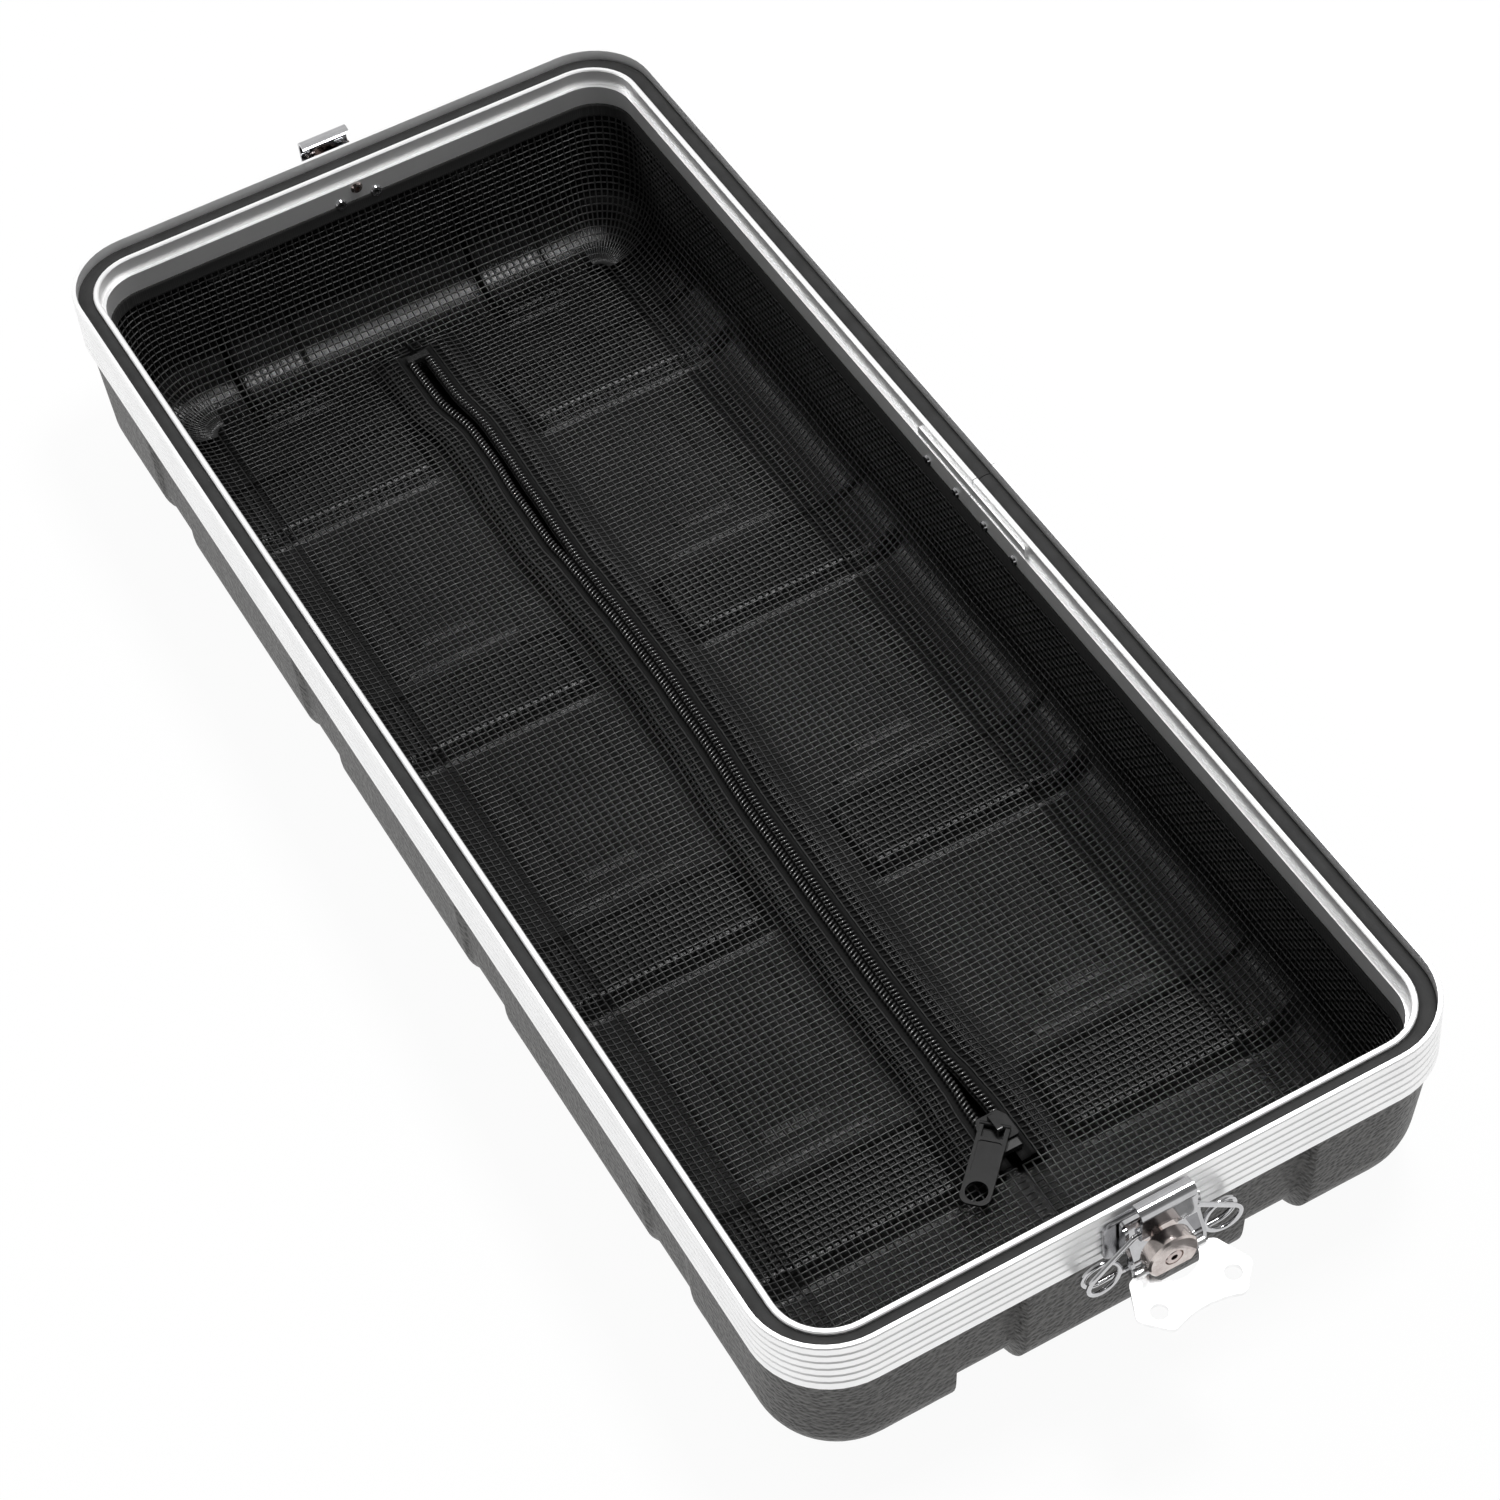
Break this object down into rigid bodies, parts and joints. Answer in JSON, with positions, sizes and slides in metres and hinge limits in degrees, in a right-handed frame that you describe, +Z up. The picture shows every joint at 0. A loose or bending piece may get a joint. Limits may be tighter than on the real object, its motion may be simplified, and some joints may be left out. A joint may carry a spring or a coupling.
{
  "type": "rack case cover",
  "caption": "Lift-off cover of a moulded rack case, on its back: aluminium rim with gasket, zipped inner net and a folding butterfly latch at each short end.",
  "frame": {"origin": "centre of the flat resting face, under the middle of the rim", "axes": "+Z up, out of the open side; +X along the cover to the end whose latch handle is folded out; +Y to the long side with the rim's butt joint"},
  "size_m": [0.5844, 0.23, 0.0841],
  "materials": {
    "shell_plastic": "pebbled moulded plastic",
    "rim_aluminium": "satin anodised extrusion",
    "gasket_rubber": "matt black foam rubber",
    "splice_metal": "satin",
    "rivet_metal": "bright plated steel",
    "net_mesh": "coated black mesh",
    "net_hem_cloth": "smooth black binding",
    "zip_cloth": "black woven zip tape",
    "zip_coil_plastic": "black coil",
    "zip_metal": "black satin paint",
    "latch_plate_metal": "bright nickel plate",
    "latch_drum_metal": "bright nickel plate, warm tint",
    "latch_wire_metal": "bright nickel plate",
    "handle_metal": "bright nickel plate"
  },
  "bodies": {
    "case": {"shell": "shell_plastic", "rim_extrusion": "rim_aluminium", "gasket": "gasket_rubber", "splice_plate": "splice_metal", "splice_bar": "splice_metal", "splice_rivets": "rivet_metal", "net_hem": "net_hem_cloth", "net_side_skirt": "net_mesh", "net_left_panel": "net_mesh", "net_right_panel": "net_mesh", "zip_tape_left": "zip_cloth", "zip_tape_right": "zip_cloth", "zip_coil_left": "zip_coil_plastic", "zip_coil_right": "zip_coil_plastic", "zip_end_stops": "zip_metal", "near_base_plate": "latch_plate_metal", "near_base_rivets": "rivet_metal", "near_pivot_rivet": "rivet_metal", "far_base_plate": "latch_plate_metal", "far_base_rivets": "rivet_metal", "far_pivot_rivet": "rivet_metal"},
    "zip_slider": {"zip_slider": "zip_metal"},
    "zip_puller": {"zip_puller": "zip_metal"},
    "near_drum": {"near_drum": "latch_drum_metal", "near_handle_pin": "latch_wire_metal"},
    "near_claw": {"near_link_plate": "latch_plate_metal", "near_hook_plate": "latch_plate_metal", "near_claw_spring": "latch_wire_metal"},
    "near_handle": {"near_handle": "handle_metal"},
    "far_drum": {"far_drum": "latch_drum_metal", "far_handle_pin": "latch_wire_metal"},
    "far_claw": {"far_link_plate": "latch_plate_metal", "far_hook_plate": "latch_plate_metal", "far_claw_spring": "latch_wire_metal"},
    "far_handle": {"far_handle": "handle_metal"}
  },
  "joints": [
    {"name": "zip_slide", "type": "slide", "parent": "case", "child": "zip_slider", "axis": [1, 0, 0], "range_m": [-0.399, 0]},
    {"name": "puller_swing", "type": "hinge", "parent": "zip_slider", "child": "zip_puller", "pos_m": [0.1872, -0.002, 0.01435], "axis": [0.7071, 0.7071, 0], "range_deg": [-170, 0]},
    {"name": "near_twist", "type": "hinge", "parent": "case", "child": "near_drum", "pos_m": [0.2731, 0, 0.0655], "axis": [1, 0, 0], "range_deg": [-140, 40]},
    {"name": "near_claw_lift", "type": "hinge", "parent": "near_drum", "child": "near_claw", "pos_m": [0.2712, 0.00225, 0.06818], "axis": [1, 0, 0], "range_deg": [-40, 140]},
    {"name": "near_handle_fold", "type": "hinge", "parent": "near_drum", "child": "near_handle", "pos_m": [0.2806, 0, 0.0617], "axis": [0, 1, 0], "range_deg": [0, 90]},
    {"name": "far_twist", "type": "hinge", "parent": "case", "child": "far_drum", "pos_m": [-0.2731, 0, 0.0655], "axis": [-1, 0, 0], "range_deg": [-65, 115]},
    {"name": "far_claw_lift", "type": "hinge", "parent": "far_drum", "child": "far_claw", "pos_m": [-0.2712, -0.00317, 0.06402], "axis": [-1, 0, 0], "range_deg": [-115, 65]},
    {"name": "far_handle_fold", "type": "hinge", "parent": "far_drum", "child": "far_handle", "pos_m": [-0.2806, 0, 0.0617], "axis": [0, 1, 0], "range_deg": [0, 90]}
  ],
  "couplings": [
    {"joint": "near_claw_lift", "follows": "near_twist", "ratio": -1},
    {"joint": "far_claw_lift", "follows": "far_twist", "ratio": -1}
  ]
}
